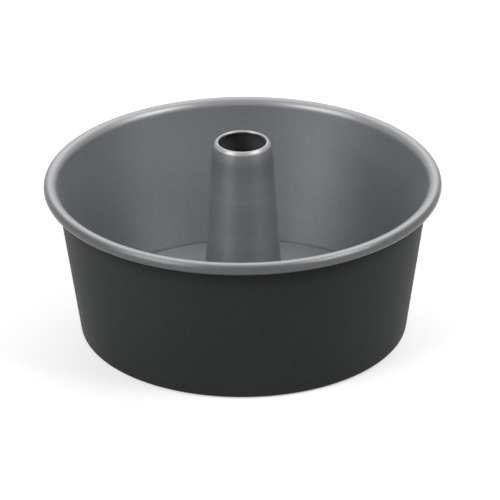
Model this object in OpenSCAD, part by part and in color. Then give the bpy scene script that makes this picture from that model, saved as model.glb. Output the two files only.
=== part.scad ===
// Two-piece angel food cake pan: a tapered wall ring and a loose floor with a centre tube.
// Millimetres, +Z up. The origin is the middle of the ring that the pan stands on.
// Every piece is pressed and rolled from sheet, so each is drawn as the section of its
// sheet, out from the axis and up, and turned round the axis.

/* [Wall ring] */
// Outside diameter over the rolled rim
rim_od = 249; // [180:1:330]
// Height from the table to the top of the rim
pan_h = 102; // [50:1:120]
// Lean of the wall outwards, in degrees from upright
wall_angle = 8.1; // [2:0.1:14]
// Thickness of the wall sheet
wall_t = 0.8; // [0.5:0.05:1.4]

/* [Rolled rim] */
// Outside radius of the first bend, where the wall turns over the top
rim_bend_r = 5; // [4.5:0.1:7]
// Outside radius of the rest of the roll
rim_roll_r = 3.7; // [3:0.1:4.2]
// How far the roll carries on past its lowest point, in degrees
rim_tuck = 80; // [20:5:85]

/* [Foot roll] */
// Outside radius of the two bends of the foot
foot_r = 3.6; // [2:0.1:6]
// Width of the flat that stands on the table
foot_flat = 4; // [2:0.5:20]
// Gap between the free edge of the foot and the wall
foot_edge_gap = 0.5; // [0.3:0.1:2]

/* [Floor plate] */
// Thickness of the floor sheet
plate_t = 0.8; // [0.7:0.05:1.6]
// Gap between the edge of the floor and the wall
plate_gap = 0.4; // [0.3:0.1:1.5]

/* [Centre tube] */
// Height of the top of the tube above the table
tube_h = 127; // [60:1:160]
// Outside diameter of the tube where it meets the floor
tube_base_od = 52; // [46:0.5:80]
// Outside diameter of the tube, carried on to its full height
tube_top_od = 37.5; // [36:0.5:48]
// Thickness of the tube sheet
tube_t = 0.8; // [0.5:0.05:1.4]
// Outside radius of the shoulder at the top
tube_shoulder_r = 3; // [1.5:0.1:3.5]
// Diameter of the mouth in the turned-in top
tube_mouth_d = 29.5; // [16:0.5:29.5]

/* [Seam of tube and floor] */
// How far the folded collar above the floor stands out from the tube
collar_w = 2.5; // [1.8:0.1:6]
// Radius in the corner between the collar and the tube
collar_fillet = 0.8; // [0.3:0.1:0.9]
// How far the turned-out edge below the floor stands out from the tube
flange_w = 4; // [2:0.1:8]
// Inside radius of the bend below the floor
flange_bend_r = 0.5; // [0.2:0.05:0.65]
// Gap round the tube in the hole of the floor
hole_gap = 0.05; // [0.02:0.01:0.3]

/* [Hidden] */
// Pieces of a full turn round the axis, and the longest step along a bend, in degrees
$fn = 180;
bend_step = 7.5;

// Heights that the pieces share
seat_z = 2 * foot_r;
floor_z = seat_z + plate_t;

// Wall line: it starts from the first bend of the rim and leans in on its way down
rim_top_r = rim_od / 2 - rim_roll_r;
rim_bend_c = [rim_top_r, pan_h - rim_bend_r];
rim_roll_c = [rim_top_r, pan_h - rim_roll_r];
wall_top = rim_bend_c + rim_bend_r * [-cos(wall_angle), sin(wall_angle)];
function wall_in_r(z) = wall_top[0] + (z - wall_top[1]) * tan(wall_angle);
function wall_out_r(z) = wall_in_r(z) + wall_t / cos(wall_angle);

// Foot roll, tangent to the outside of the wall and to the table
foot_outer_c = [wall_out_r(foot_r) - foot_r / cos(wall_angle), foot_r];
foot_inner_c = foot_outer_c - [foot_flat, 0];
foot_edge_r = wall_in_r(seat_z - wall_t) - foot_edge_gap;

// Floor plate: it lies on the foot roll and just clears the wall
plate_r = wall_in_r(seat_z) - plate_gap;

// Tube line: it leans inwards on its way up, to a shoulder and a turned-in top
neck_r = tube_base_od / 2;
tube_lean = atan((neck_r - tube_top_od / 2) / (tube_h - floor_z));
function tube_out_r(z) = neck_r - (z - floor_z) * tan(tube_lean);
shoulder_z = tube_h - tube_shoulder_r;
shoulder_c = [tube_out_r(shoulder_z) - tube_shoulder_r / cos(tube_lean), shoulder_z];
mouth_r = tube_mouth_d / 2;

// Seam: the floor is pinched between a collar above it and a flange below it
collar_top_z = floor_z + 2 * tube_t;
collar_edge_c = [neck_r + collar_w - tube_t, floor_z + tube_t];
fillet_z = collar_top_z + collar_fillet;
fillet_c = [tube_out_r(fillet_z) + collar_fillet / cos(tube_lean), fillet_z];
flange_bend_c = [neck_r + flange_bend_r, seat_z + flange_bend_r];
hole_r = flange_bend_c[0] + hole_gap;

// Points round a bend, between two directions given in degrees from outwards
function arc(centre, r, from, to) =
    let (steps = ceil(abs(to - from) / bend_step))
    [for (i = [0:steps])
        let (a = from + (to - from) * i / steps)
        centre + r * [cos(a), sin(a)]];

function backwards(points) = [for (i = [len(points) - 1:-1:0]) points[i]];

// One face of the ring's sheet, from the free end of the rim roll to the free edge of the
// foot. A depth of 0 is the face towards the cake, and wall_t is the face behind it.
function ring_face(depth) = concat(
    arc(rim_roll_c, rim_roll_r - depth, -90 - rim_tuck, 90),
    arc(rim_bend_c, rim_bend_r - depth, 90, 180 - wall_angle),
    arc(foot_outer_c, foot_r - wall_t + depth, -wall_angle, -90),
    arc(foot_inner_c, foot_r - wall_t + depth, 270, 90),
    [[foot_edge_r, seat_z - wall_t + depth]]
);

// Outer face of the tube's sheet, from the mouth down to the edge of the flange
tube_outer_face = concat(
    [[mouth_r, tube_h]],
    arc(shoulder_c, tube_shoulder_r, 90, tube_lean),
    arc(fillet_c, collar_fillet, 180 + tube_lean, 270),
    arc(collar_edge_c, tube_t, 90, -90),
    [[neck_r, floor_z]],
    arc(flange_bend_c, flange_bend_r, 180, 270),
    [[neck_r + flange_w, seat_z]]
);

// Inner face of the tube's sheet, the same way down
tube_inner_face = concat(
    [[mouth_r, tube_h - tube_t]],
    arc(shoulder_c, tube_shoulder_r - tube_t, 90, tube_lean),
    arc(flange_bend_c, flange_bend_r + tube_t, 180, 270),
    [[neck_r + flange_w, seat_z - tube_t]]
);

// Outer ring, one sheet: the wall, the rolled rim and the foot roll that carries the floor
module wall_ring() {
    color([0.2, 0.21, 0.21])
        rotate_extrude()
            polygon(concat(ring_face(0), backwards(ring_face(wall_t))));
}

// Loose floor: a flat disc with a rounded edge and a hole for the neck of the tube
module floor_plate() {
    edge_r = plate_t / 2;
    edge_c = [plate_r - edge_r, seat_z + edge_r];
    color([0.46, 0.47, 0.48])
        rotate_extrude()
            polygon(concat([[hole_r, seat_z]], arc(edge_c, edge_r, -90, 90), [[hole_r, floor_z]]));
}

// Centre tube: it bakes the middle of the cake, and the pan stands on it upside down to cool
module centre_tube() {
    color([0.46, 0.47, 0.48])
        rotate_extrude()
            polygon(concat(tube_outer_face, backwards(tube_inner_face)));
}

wall_ring();
floor_plate();
centre_tube();
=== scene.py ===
"""Two-piece angel food cake pan: a tapered ring with a rolled rim, and a loose floor with a tube.

All of it is coated sheet metal, silver-grey where the cake bakes and charcoal behind.
Metres, +Z up along the axis of the pan, which stands on z = 0.
"""

import math

import bmesh
import bpy
from mathutils import Matrix, Vector


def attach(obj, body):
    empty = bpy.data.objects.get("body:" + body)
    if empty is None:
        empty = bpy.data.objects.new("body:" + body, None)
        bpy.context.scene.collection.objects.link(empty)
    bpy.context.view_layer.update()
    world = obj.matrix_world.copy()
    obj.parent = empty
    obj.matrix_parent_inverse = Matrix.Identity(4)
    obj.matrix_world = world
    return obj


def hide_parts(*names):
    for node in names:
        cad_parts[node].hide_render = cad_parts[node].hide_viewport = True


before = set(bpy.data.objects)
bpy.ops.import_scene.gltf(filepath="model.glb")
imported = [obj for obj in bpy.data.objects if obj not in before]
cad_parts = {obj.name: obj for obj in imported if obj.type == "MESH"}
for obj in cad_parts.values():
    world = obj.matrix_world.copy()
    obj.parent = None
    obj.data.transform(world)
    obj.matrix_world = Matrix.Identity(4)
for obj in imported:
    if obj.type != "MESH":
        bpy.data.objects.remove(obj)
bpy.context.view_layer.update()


# Wall ring. One sheet of steel, pressed and then rolled: the foot is curled inwards and carries
# the floor, the wall leans out, and the rim is rolled outwards until its edge is tucked away.
# The silver coat covers the baking side and the whole of the rim, the charcoal coat the outside.

SHEET = 0.0008
CUT_EDGE = 0.00022
CUT_ANGLE = 60
AROUND = 240
BEND_STEP = 7.5
BEND_STEPS = 6
CLOSE = 0.0005

RIM_R = 0.1208
RIM_TOP = 0.102
RIM_BEND = 0.005
RIM_ROLL = 0.0037
RIM_TURN = 260
WALL_LEAN = 8.1
FOOT_BEND = 0.0036
FOOT_FLAT = 0.004
FOOT_EDGE_GAP = 0.0005
SEAT_Z = 2 * FOOT_BEND


def from_centre(centre, radius, degrees):
    """The point of a section at a direction from a bend's centre, as radius and height."""
    turn = math.radians(degrees)
    return (centre[0] + radius * math.cos(turn), centre[1] + radius * math.sin(turn))


def start_line(r, z):
    """A new sheet line, drawn with its silver side on the left. Gives its mesh and its end."""
    line = bmesh.new()
    return line, line.verts.new((r, 0, z))


def bend(line, end, centre, degrees):
    """Rolls the line on round a centre, to the left if degrees is above zero. Gives its new end."""
    rolled = bmesh.ops.spin(
        line,
        geom=[end],
        cent=(centre[0], 0, centre[1]),
        axis=(0, -1, 0),
        angle=math.radians(degrees),
        steps=max(BEND_STEPS, math.ceil(abs(degrees) / BEND_STEP)),
    )
    return rolled["geom_last"][0]


def straight(line, end, r, z):
    """Carries the line straight on. Points close to both ends keep the flat between them flat."""
    start = end.co.copy()
    finish = Vector((r, 0, z))
    step = (finish - start).normalized() * CLOSE
    stops = [finish]
    if (finish - start).length > 4 * CLOSE:
        stops = [start + step, finish - step, finish]
    for stop in stops:
        end = bmesh.ops.extrude_vert_indiv(line, verts=[end])["verts"][0]
        end.co = stop
    return end


def turn_and_thicken(line, ease):
    """Turns the line round the pan's axis, thickens it behind and rounds off its cut edges."""
    bmesh.ops.spin(
        line,
        geom=line.verts[:] + line.edges[:],
        cent=(0, 0, 0),
        axis=(0, 0, 1),
        angle=math.tau,
        steps=AROUND,
        use_merge=True,
    )
    bmesh.ops.remove_doubles(line, verts=line.verts, dist=1e-6)
    line.normal_update()
    face = next(iter(line.faces))
    silver_side = face.normal.copy()
    bmesh.ops.recalc_face_normals(line, faces=line.faces)
    if face.normal.dot(silver_side) < 0:
        bmesh.ops.reverse_faces(line, faces=line.faces)

    # The first coat covers the drawn side and wraps over the cut edges, the second the back.
    silver = set(line.faces)
    bmesh.ops.solidify(line, geom=line.faces[:], thickness=SHEET)
    for face in line.faces:
        touching = {near for edge in face.edges for near in edge.link_faces}
        face.material_index = 1 if silver.isdisjoint(touching) else 0
        face.smooth = True
    cut = [edge for edge in line.edges if edge.calc_face_angle(0) > math.radians(CUT_ANGLE)]
    bmesh.ops.bevel(
        line,
        geom=cut,
        offset=ease,
        segments=3,
        profile=0.5,
        affect="EDGES",
        material=-1,
    )


def finish_piece(line, name, coats, body, node):
    """Makes the mesh a piece with its coats, sets it on its body and lets it stand for its node."""
    mesh = bpy.data.meshes.new(name)
    line.to_mesh(mesh)
    line.free()
    for coat in coats:
        mesh.materials.append(coat)
    piece = bpy.data.objects.new(name, mesh)
    bpy.context.scene.collection.objects.link(piece)
    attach(piece, body)
    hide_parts(node)


def new_group(name, inputs, outputs):
    """An empty shader node group with named inputs and outputs."""
    group = bpy.data.node_groups.new(name, "ShaderNodeTree")
    for label, kind, value in inputs:
        socket = group.interface.new_socket(label, in_out="INPUT", socket_type=kind)
        socket.default_value = value
    for label, kind in outputs:
        group.interface.new_socket(label, in_out="OUTPUT", socket_type=kind)
    return group, group.nodes.new("NodeGroupInput"), group.nodes.new("NodeGroupOutput")


def sums(tree, operation, first, second):
    """One Math node on two sockets or numbers. Gives its output."""
    node = tree.nodes.new("ShaderNodeMath")
    node.operation = operation
    for socket, value in zip(node.inputs, (first, second)):
        if isinstance(value, (int, float)):
            socket.default_value = value
        else:
            tree.links.new(value, socket)
    return node.outputs["Value"]


def place_of(tree):
    """The place on the piece that is being shaded."""
    return tree.nodes.new("ShaderNodeTexCoord").outputs["Object"]


def apart(tree, vector):
    """The X, Y and Z of a vector."""
    node = tree.nodes.new("ShaderNodeSeparateXYZ")
    tree.links.new(vector, node.inputs["Vector"])
    return node.outputs


def join(tree, first, second):
    """A flat vector of two sockets."""
    node = tree.nodes.new("ShaderNodeCombineXYZ")
    tree.links.new(first, node.inputs["X"])
    tree.links.new(second, node.inputs["Y"])
    return node.outputs["Vector"]


def length_of(tree, vector):
    """The length of a vector."""
    node = tree.nodes.new("ShaderNodeVectorMath")
    node.operation = "LENGTH"
    tree.links.new(vector, node.inputs[0])
    return node.outputs["Value"]


def grain(tree, vector, scale, detail, roughness=0.5):
    """Noise about zero, from about -0.5 to 0.5."""
    noise = tree.nodes.new("ShaderNodeTexNoise")
    noise.inputs["Scale"].default_value = scale
    noise.inputs["Detail"].default_value = detail
    noise.inputs["Roughness"].default_value = roughness
    tree.links.new(vector, noise.inputs["Vector"])
    return sums(tree, "SUBTRACT", noise.outputs["Fac"], 0.5)


def fade(tree, value, start, finish):
    """A soft step of a value, from 0 at start to 1 at finish."""
    step = tree.nodes.new("ShaderNodeMapRange")
    step.interpolation_type = "SMOOTHSTEP"
    step.inputs["From Min"].default_value = start
    step.inputs["From Max"].default_value = finish
    tree.links.new(value, step.inputs["Value"])
    return step.outputs["Result"]


# What any sprayed and baked coat on a turned sheet shows: metal flakes, slow clouds where the
# coat is thicker, faint rings left by the spinning of the sheet, and a skin that isn't flat.
FLAKE_SCALE = 950
CLOUD_SCALE = 16
RING_SCALE = 420
SKIN_SCALE = 420
FLAKE_HEIGHT = 0.25
CLOUD_DULLNESS = 0.12
RING_DULLNESS = 0.05

sprayed, given, result = new_group(
    "sprayed_coat",
    [
        ("Colour", "NodeSocketColor", (0.5, 0.5, 0.5, 1)),
        ("Flakes", "NodeSocketFloat", 0.1),
        ("Clouds", "NodeSocketFloat", 0.1),
        ("Rings", "NodeSocketFloat", 0.05),
        ("Roughness", "NodeSocketFloat", 0.4),
    ],
    [
        ("Colour", "NodeSocketColor"),
        ("Roughness", "NodeSocketFloat"),
        ("Height", "NodeSocketFloat"),
    ],
)
place = place_of(sprayed)
xyz = apart(sprayed, place)
across = length_of(sprayed, join(sprayed, xyz["X"], xyz["Y"]))
flakes = grain(sprayed, place, FLAKE_SCALE, detail=3, roughness=0.7)
clouds = grain(sprayed, place, CLOUD_SCALE, detail=3)
rings = grain(sprayed, join(sprayed, across, xyz["Z"]), RING_SCALE, detail=2)
skin = grain(sprayed, place, SKIN_SCALE, detail=1)

light = 1.0
for effect, share in ((flakes, "Flakes"), (clouds, "Clouds"), (rings, "Rings")):
    light = sums(sprayed, "ADD", light, sums(sprayed, "MULTIPLY", effect, given.outputs[share]))
shaded = sprayed.nodes.new("ShaderNodeVectorMath")
shaded.operation = "SCALE"
sprayed.links.new(given.outputs["Colour"], shaded.inputs["Vector"])
sprayed.links.new(light, shaded.inputs["Scale"])
sprayed.links.new(shaded.outputs["Vector"], result.inputs["Colour"])

dull = given.outputs["Roughness"]
for effect, dullness in ((clouds, CLOUD_DULLNESS), (rings, RING_DULLNESS)):
    dull = sums(sprayed, "ADD", dull, sums(sprayed, "MULTIPLY", effect, dullness))
sprayed.links.new(dull, result.inputs["Roughness"])
height = sums(sprayed, "ADD", sums(sprayed, "MULTIPLY", flakes, FLAKE_HEIGHT), skin)
sprayed.links.new(height, result.inputs["Height"])


def sprayed_coat(name, colour, metal, roughness, flakes, clouds, rings, bumps):
    """A baked coat: the sprayed effect on a Principled shader."""
    coat = bpy.data.materials.new(name)
    coat.use_nodes = True
    coat.diffuse_color = (*colour, 1)
    tree = coat.node_tree
    shader = tree.nodes["Principled BSDF"]
    shader.inputs["Metallic"].default_value = metal
    effect = tree.nodes.new("ShaderNodeGroup")
    effect.node_tree = sprayed
    effect.inputs["Colour"].default_value = (*colour, 1)
    effect.inputs["Flakes"].default_value = flakes
    effect.inputs["Clouds"].default_value = clouds
    effect.inputs["Rings"].default_value = rings
    effect.inputs["Roughness"].default_value = roughness
    bump = tree.nodes.new("ShaderNodeBump")
    bump.inputs["Strength"].default_value = 1.0
    bump.inputs["Distance"].default_value = bumps
    tree.links.new(effect.outputs["Height"], bump.inputs["Height"])
    tree.links.new(effect.outputs["Colour"], shader.inputs["Base Color"])
    tree.links.new(effect.outputs["Roughness"], shader.inputs["Roughness"])
    tree.links.new(bump.outputs["Normal"], shader.inputs["Normal"])
    return coat, shader


def brush(shader, amount):
    """Draws the gloss out up and down the piece, as the fine rings of a spun sheet do."""
    shader.inputs["Anisotropic"].default_value = amount
    shader.inputs["Anisotropic Rotation"].default_value = 0.25


def polish(tree, shader, where, amount):
    """Makes a coat smoother where a mask is 1, as rolling and forming tools do."""
    rough = shader.inputs["Roughness"].links[0].from_socket
    smoother = sums(tree, "SUBTRACT", rough, sums(tree, "MULTIPLY", where, amount))
    tree.links.new(smoother, shader.inputs["Roughness"])


def tint(tree, shader, where, colour, share=1.0):
    """Mixes a share of another colour into a coat where a mask is 1."""
    mix = tree.nodes.new("ShaderNodeMix")
    mix.data_type = "RGBA"
    factor, under, over = [socket for socket in mix.inputs if socket.enabled]
    tree.links.new(sums(tree, "MULTIPLY", where, share), factor)
    tree.links.new(shader.inputs["Base Color"].links[0].from_socket, under)
    over.default_value = (*colour, 1)
    mixed = [socket for socket in mix.outputs if socket.enabled][0]
    tree.links.new(mixed, shader.inputs["Base Color"])


silver_coat, silver_shader = sprayed_coat(
    "silver_coat",
    colour=(0.265, 0.275, 0.290),
    metal=0.5,
    roughness=0.42,
    flakes=0.65,
    clouds=0.18,
    rings=0.10,
    bumps=0.00002,
)
brush(silver_shader, amount=0.6)
charcoal_coat, charcoal_shader = sprayed_coat(
    "charcoal_coat",
    colour=(0.0390, 0.0415, 0.0428),
    metal=0.0,
    roughness=0.5,
    flakes=1.0,
    clouds=0.3,
    rings=0.04,
    bumps=0.00001,
)
charcoal_shader.inputs["Specular IOR Level"].default_value = 0.05

# Painted shade: the charcoal coat is darkened in a band close under the rim, where the roll
# overhangs it.
UNDER_RIM_SHADE_LOW = RIM_TOP - 0.0220
UNDER_RIM_SHADE_HIGH = RIM_TOP - 0.0070
PAINTED_UNDER_RIM_SHADE = (0.005, 0.0055, 0.0058)

tree = charcoal_coat.node_tree
height = apart(tree, place_of(tree))["Z"]
# Painted shade under the overhanging rim.
under_rim_shade = fade(tree, height, UNDER_RIM_SHADE_LOW, UNDER_RIM_SHADE_HIGH)
tint(tree, charcoal_shader, under_rim_shade, PAINTED_UNDER_RIM_SHADE, share=0.32)

# Rolling leaves the rim a little smoother and less blue than the wall. From just past the crest,
# the outer half and the tucked underside of the roll are darkened towards charcoal with fine
# specks: partly charcoal dust drifted over the rim, partly painted shade where the roll turns down,
# away from the light.
ROLLED_FROM = RIM_R - RIM_BEND - 0.0006
ROLLED_FULL = RIM_R - RIM_BEND + 0.0010
ROLLED_SILVER = (0.275, 0.276, 0.278)
DUST_AND_SHADE_FROM = RIM_R + 0.0010
DUST_AND_SHADE_FULL = RIM_R + 0.0032
TUCK_TOP = RIM_TOP - RIM_ROLL
TUCK_FULL = TUCK_TOP - 0.0012
TUCK_R = RIM_R - 0.0042
SPECK_SCALE = 1800
SPECK_SHARE = 0.7
DUST_AND_SHADE_COVER = 0.64
BEAD_DUST_AND_SHADE = (0.0132, 0.0147, 0.0153)

tree = silver_coat.node_tree
place = place_of(tree)
xyz = apart(tree, place)
from_axis = length_of(tree, join(tree, xyz["X"], xyz["Y"]))
rolled = fade(tree, from_axis, ROLLED_FROM, ROLLED_FULL)
polish(tree, silver_shader, rolled, amount=0.06)
tint(tree, silver_shader, rolled, ROLLED_SILVER, share=0.6)
outer = fade(tree, from_axis, DUST_AND_SHADE_FROM, DUST_AND_SHADE_FULL)
tucked = fade(tree, xyz["Z"], TUCK_TOP, TUCK_FULL)
tucked = sums(tree, "MULTIPLY", tucked, sums(tree, "GREATER_THAN", from_axis, TUCK_R))
specks = grain(tree, place, SPECK_SCALE, detail=2, roughness=0.7)
specks = sums(tree, "MULTIPLY", specks, SPECK_SHARE)
# Part dust specks, part painted shade on the roll's outer half and underside.
dust_and_shade = sums(tree, "MAXIMUM", outer, tucked)
dust_and_shade = sums(tree, "MULTIPLY", dust_and_shade, sums(tree, "ADD", specks, DUST_AND_SHADE_COVER))
tint(tree, silver_shader, dust_and_shade, BEAD_DUST_AND_SHADE)

lean = math.radians(WALL_LEAN)
rim_bend_centre = (RIM_R, RIM_TOP - RIM_BEND)
rim_roll_centre = (RIM_R, RIM_TOP - RIM_ROLL)
wall_top = from_centre(rim_bend_centre, RIM_BEND, 180 - WALL_LEAN)


def wall_inside(z):
    """Radius of the wall's silver face at a height."""
    return wall_top[0] - (wall_top[1] - z) * math.tan(lean)


foot_r = wall_inside(FOOT_BEND) - (FOOT_BEND - SHEET) / math.cos(lean)
foot_outer = (foot_r, FOOT_BEND)
foot_inner = (foot_r - FOOT_FLAT, FOOT_BEND)
foot_edge_r = wall_inside(SEAT_Z - SHEET) - FOOT_EDGE_GAP

ring, end = start_line(foot_edge_r, SEAT_Z - SHEET)
end = straight(ring, end, foot_inner[0], SEAT_Z - SHEET)
end = bend(ring, end, foot_inner, 180)
end = straight(ring, end, foot_outer[0], SHEET)
end = bend(ring, end, foot_outer, 90 - WALL_LEAN)
end = straight(ring, end, *wall_top)
end = bend(ring, end, rim_bend_centre, WALL_LEAN - 90)
end = bend(ring, end, rim_roll_centre, -RIM_TURN)
turn_and_thicken(ring, CUT_EDGE)
finish_piece(
    ring, "ring_of_the_pan", (silver_coat, charcoal_coat), "pan_ring", "wall_ring"
)


# Floor plate. A loose flat disc of the same coated sheet with a rounded edge. It lies on the
# foot of the ring, just clear of the wall, and its hole is pinched in the seam of the tube.

PLATE_GAP = 0.0010
PLATE_EDGE = 0.00038
HOLE_R = 0.02655
FLOOR_Z = SEAT_Z + SHEET

disc, end = start_line(HOLE_R, FLOOR_Z)
end = straight(disc, end, wall_inside(SEAT_Z) - PLATE_GAP, FLOOR_Z)
turn_and_thicken(disc, PLATE_EDGE)
finish_piece(
    disc, "loose_floor", (silver_coat, charcoal_coat), "tube_insert", "floor_plate"
)


# Centre tube. A tapered tube drawn from the same sheet, silver outside and dark inside. Its top
# leans in over a soft shoulder to a narrow lip, whose edge is curled inwards. Its wall is folded
# out into a collar above the floor and turned out below it, which holds the two together.

TUBE_TOP = 0.127
TUBE_FOOT_R = 0.026
TUBE_LEAN = 3.486
MOUTH_R = 0.0149
LIP_CURL = 0.0009
LIP_TUCK = 35
LIP_CROWN = 0.0012
CROWN_END = 48
LIP_FALL = 0.004
LIP_END = 18
COLLAR_R = 0.0285
FOLD = 0.00085
FILLET = 0.0008
NECK_BEND = 0.0002
FLANGE_BEND = 0.0005
FLANGE_R = 0.030

taper = math.radians(TUBE_LEAN)


def tube_outside(z):
    """Radius of the tube's silver face at a height."""
    return TUBE_FOOT_R - (z - FLOOR_Z) * math.tan(taper)


curl_centre = (MOUTH_R + LIP_CURL, TUBE_TOP - LIP_CURL)
crown_centre = (curl_centre[0], TUBE_TOP - LIP_CROWN)
crown_end = from_centre(crown_centre, LIP_CROWN, CROWN_END)
fall_centre = from_centre(crown_end, -LIP_FALL, CROWN_END)
shoulder_top = from_centre(fall_centre, LIP_FALL, LIP_END)
inset = (tube_outside(shoulder_top[1]) - shoulder_top[0]) * math.cos(taper)
shoulder_radius = inset / (1 - math.cos(math.radians(LIP_END - TUBE_LEAN)))
shoulder_centre = from_centre(shoulder_top, -shoulder_radius, LIP_END)
fillet_z = FLOOR_Z + 2 * FOLD + FILLET
fillet_centre = (tube_outside(fillet_z) + FILLET / math.cos(taper), fillet_z)
tube_bottom = from_centre(fillet_centre, FILLET, 180 + TUBE_LEAN)
fold_centre = (COLLAR_R - FOLD, FLOOR_Z + FOLD)
neck_centre = (TUBE_FOOT_R + NECK_BEND, FLOOR_Z - NECK_BEND)
flange_centre = (TUBE_FOOT_R + FLANGE_BEND, SEAT_Z + FLANGE_BEND)

tube, end = start_line(*from_centre(curl_centre, LIP_CURL, 180 + LIP_TUCK))
end = bend(tube, end, curl_centre, -90 - LIP_TUCK)
end = bend(tube, end, crown_centre, CROWN_END - 90)
end = bend(tube, end, fall_centre, LIP_END - CROWN_END)
end = bend(tube, end, shoulder_centre, TUBE_LEAN - LIP_END)
end = straight(tube, end, *tube_bottom)
end = bend(tube, end, fillet_centre, 90 - TUBE_LEAN)
end = straight(tube, end, fold_centre[0], FLOOR_Z + 2 * FOLD)
end = bend(tube, end, fold_centre, -180)
end = straight(tube, end, neck_centre[0], FLOOR_Z)
end = bend(tube, end, neck_centre, 90)
end = straight(tube, end, TUBE_FOOT_R, flange_centre[1])
end = bend(tube, end, flange_centre, 90)
end = straight(tube, end, FLANGE_R, SEAT_Z)
turn_and_thicken(tube, CUT_EDGE)

spun_coat, spun_shader = sprayed_coat(
    "spun_silver_coat",
    colour=(0.316, 0.325, 0.341),
    metal=0.6,
    roughness=0.40,
    flakes=0.5,
    clouds=0.28,
    rings=0.25,
    bumps=0.00002,
)
brush(spun_shader, amount=0.7)
spun_shader.inputs["Specular IOR Level"].default_value = 0.3
spun_shader.inputs["Specular Tint"].default_value = (0.5, 0.5, 0.5, 1)

# Painted shade: the coat is darkened over the upper tube towards the shoulder, which faces up into
# more light. The lip is tinted much lighter than the rest of the coat.
SHOULDER_SHADE_LOW = TUBE_TOP - 0.0340
SHOULDER_SHADE_HIGH = TUBE_TOP - 0.0030
PAINTED_SHOULDER_SHADE = (0.050, 0.053, 0.057)
LIP_LOW = TUBE_TOP - 0.0024
LIP_HIGH = TUBE_TOP - 0.0018
LIGHT_LIP_TINT = (0.40, 0.405, 0.414)

tree = spun_coat.node_tree
height = apart(tree, place_of(tree))["Z"]
# Painted shade on the upper tube.
shoulder = fade(tree, height, SHOULDER_SHADE_LOW, SHOULDER_SHADE_HIGH)
tint(tree, spun_shader, shoulder, PAINTED_SHOULDER_SHADE, share=0.52)
lip = fade(tree, height, LIP_LOW, LIP_HIGH)
tint(tree, spun_shader, lip, LIGHT_LIP_TINT, share=0.9)

dark_coat, dark_shader = sprayed_coat(
    "tube_inside_coat",
    colour=(0.085, 0.086, 0.088),
    metal=0.0,
    roughness=0.38,
    flakes=0.25,
    clouds=0.4,
    rings=0.4,
    bumps=0.00002,
)
brush(dark_shader, amount=0.7)
finish_piece(
    tube, "tube_of_the_pan", (spun_coat, dark_coat), "tube_insert", "centre_tube"
)


# Studio floor. A plain pale sweep that the camera and the gloss see as white, with the soft
# shadow of the pan left on it, and clear from below. It isn't part of the pan.

PAPER_BELOW = 0.0001
PAPER_HALF = 12
GLOW_NEAR = 0.5
GLOW_FROM = 0.6
GLOW_FULL = 3.0


def white_rays(tree):
    """1 for the rays that find the studio white: the camera's, and those of gloss and glass."""
    rays = tree.nodes.new("ShaderNodeLightPath").outputs
    seen = sums(tree, "MAXIMUM", rays["Is Camera Ray"], rays["Is Glossy Ray"])
    return sums(tree, "MAXIMUM", seen, rays["Is Transmission Ray"])


white = bpy.data.materials.new("studio_white")
white.use_nodes = True
tree = white.node_tree
paper = tree.nodes["Principled BSDF"]
paper.inputs["Base Color"].default_value = (0.8, 0.8, 0.8, 1)
paper.inputs["Roughness"].default_value = 0.9
paper.inputs["Specular IOR Level"].default_value = 0.1
paper.inputs["Emission Color"].default_value = (1, 1, 1, 1)

# The glow grows where the lamps don't reach, so that the floor is white as far as it goes.
away = fade(tree, length_of(tree, place_of(tree)), GLOW_FROM, GLOW_FULL)
glow = sums(tree, "MULTIPLY", away, 1 - GLOW_NEAR)
glow = sums(tree, "MULTIPLY", sums(tree, "ADD", glow, GLOW_NEAR), white_rays(tree))
tree.links.new(glow, paper.inputs["Emission Strength"])

clear = tree.nodes.new("ShaderNodeBsdfTransparent")
below = tree.nodes.new("ShaderNodeNewGeometry").outputs["Backfacing"]
either = tree.nodes.new("ShaderNodeMixShader")
tree.links.new(below, either.inputs["Fac"])
tree.links.new(paper.outputs["BSDF"], either.inputs[1])
tree.links.new(clear.outputs["BSDF"], either.inputs[2])
tree.links.new(either.outputs["Shader"], tree.nodes["Material Output"].inputs["Surface"])

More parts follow.
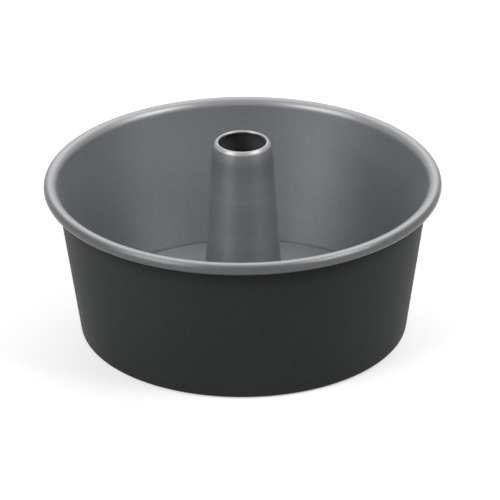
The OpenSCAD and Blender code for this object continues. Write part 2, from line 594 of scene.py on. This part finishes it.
floor_mesh = bpy.data.meshes.new("studio_floor")
sheet = bmesh.new()
bmesh.ops.create_grid(sheet, x_segments=1, y_segments=1, size=PAPER_HALF)
bmesh.ops.translate(sheet, verts=sheet.verts, vec=(0, 0, -PAPER_BELOW))
sheet.to_mesh(floor_mesh)
sheet.free()
floor_mesh.materials.append(white)
studio_floor = bpy.data.objects.new("studio_floor", floor_mesh)
bpy.context.scene.collection.objects.link(studio_floor)


# Studio light. Two soft boxes high on the left and right, a wide one behind, and a plain pale
# room round them that shows white to the camera and in the gloss.

LAMP_DISTANCE = 1.8
LAMP_AIM = Vector((0, 0, 0.06))


def soft_box(name, direction, size, power):
    """A square area lamp that shines on the pan from a direction."""
    lamp = bpy.data.lights.new(name, "AREA")
    lamp.size = size
    lamp.energy = power
    light = bpy.data.objects.new(name, lamp)
    bpy.context.scene.collection.objects.link(light)
    towards = Vector(direction).normalized()
    light.location = LAMP_AIM + towards * LAMP_DISTANCE
    light.rotation_mode = "QUATERNION"
    light.rotation_quaternion = towards.to_track_quat("Z", "Y")


soft_box("left_box", (-0.60, -0.42, 0.58), size=1.1, power=19)
soft_box("right_box", (0.64, -0.27, 0.72), size=0.9, power=16.5)
soft_box("back_box", (0.05, 0.65, 0.76), size=1.7, power=15.5)

room = bpy.data.worlds.new("pale_room")
bpy.context.scene.world = room
room.use_nodes = True
tree = room.node_tree
air = tree.nodes["Background"]
air.inputs["Color"].default_value = (1, 1, 1, 1)
tree.links.new(white_rays(tree), air.inputs["Strength"])


# Camera. It looks down on the pan from the front, with a long lens. Its place and its small turn
# and tilt fit the rim, the wall, the floor's edge and the tube to the photograph.

CAMERA_BACK = 2.69187
CAMERA_UP = 1.38433
LOOK_DOWN = 0.459810
LOOK_ASIDE = -0.001585
TILT = -0.0083484
LENS = 343.37

eye = Matrix.Translation((0, -CAMERA_BACK, CAMERA_UP))
aim = Matrix.Rotation(LOOK_ASIDE, 4, "Z") @ Matrix.Rotation(math.pi / 2 - LOOK_DOWN, 4, "X")
camera_data = bpy.data.cameras.new("photo_camera")
camera_data.sensor_width = 36
camera_data.lens = LENS
camera_data.clip_end = 50
camera = bpy.data.objects.new("photo_camera", camera_data)
camera.matrix_world = eye @ aim @ Matrix.Rotation(TILT, 4, "Z")
bpy.context.scene.collection.objects.link(camera)
bpy.context.scene.camera = camera

bpy.context.scene.view_settings.view_transform = "Standard"
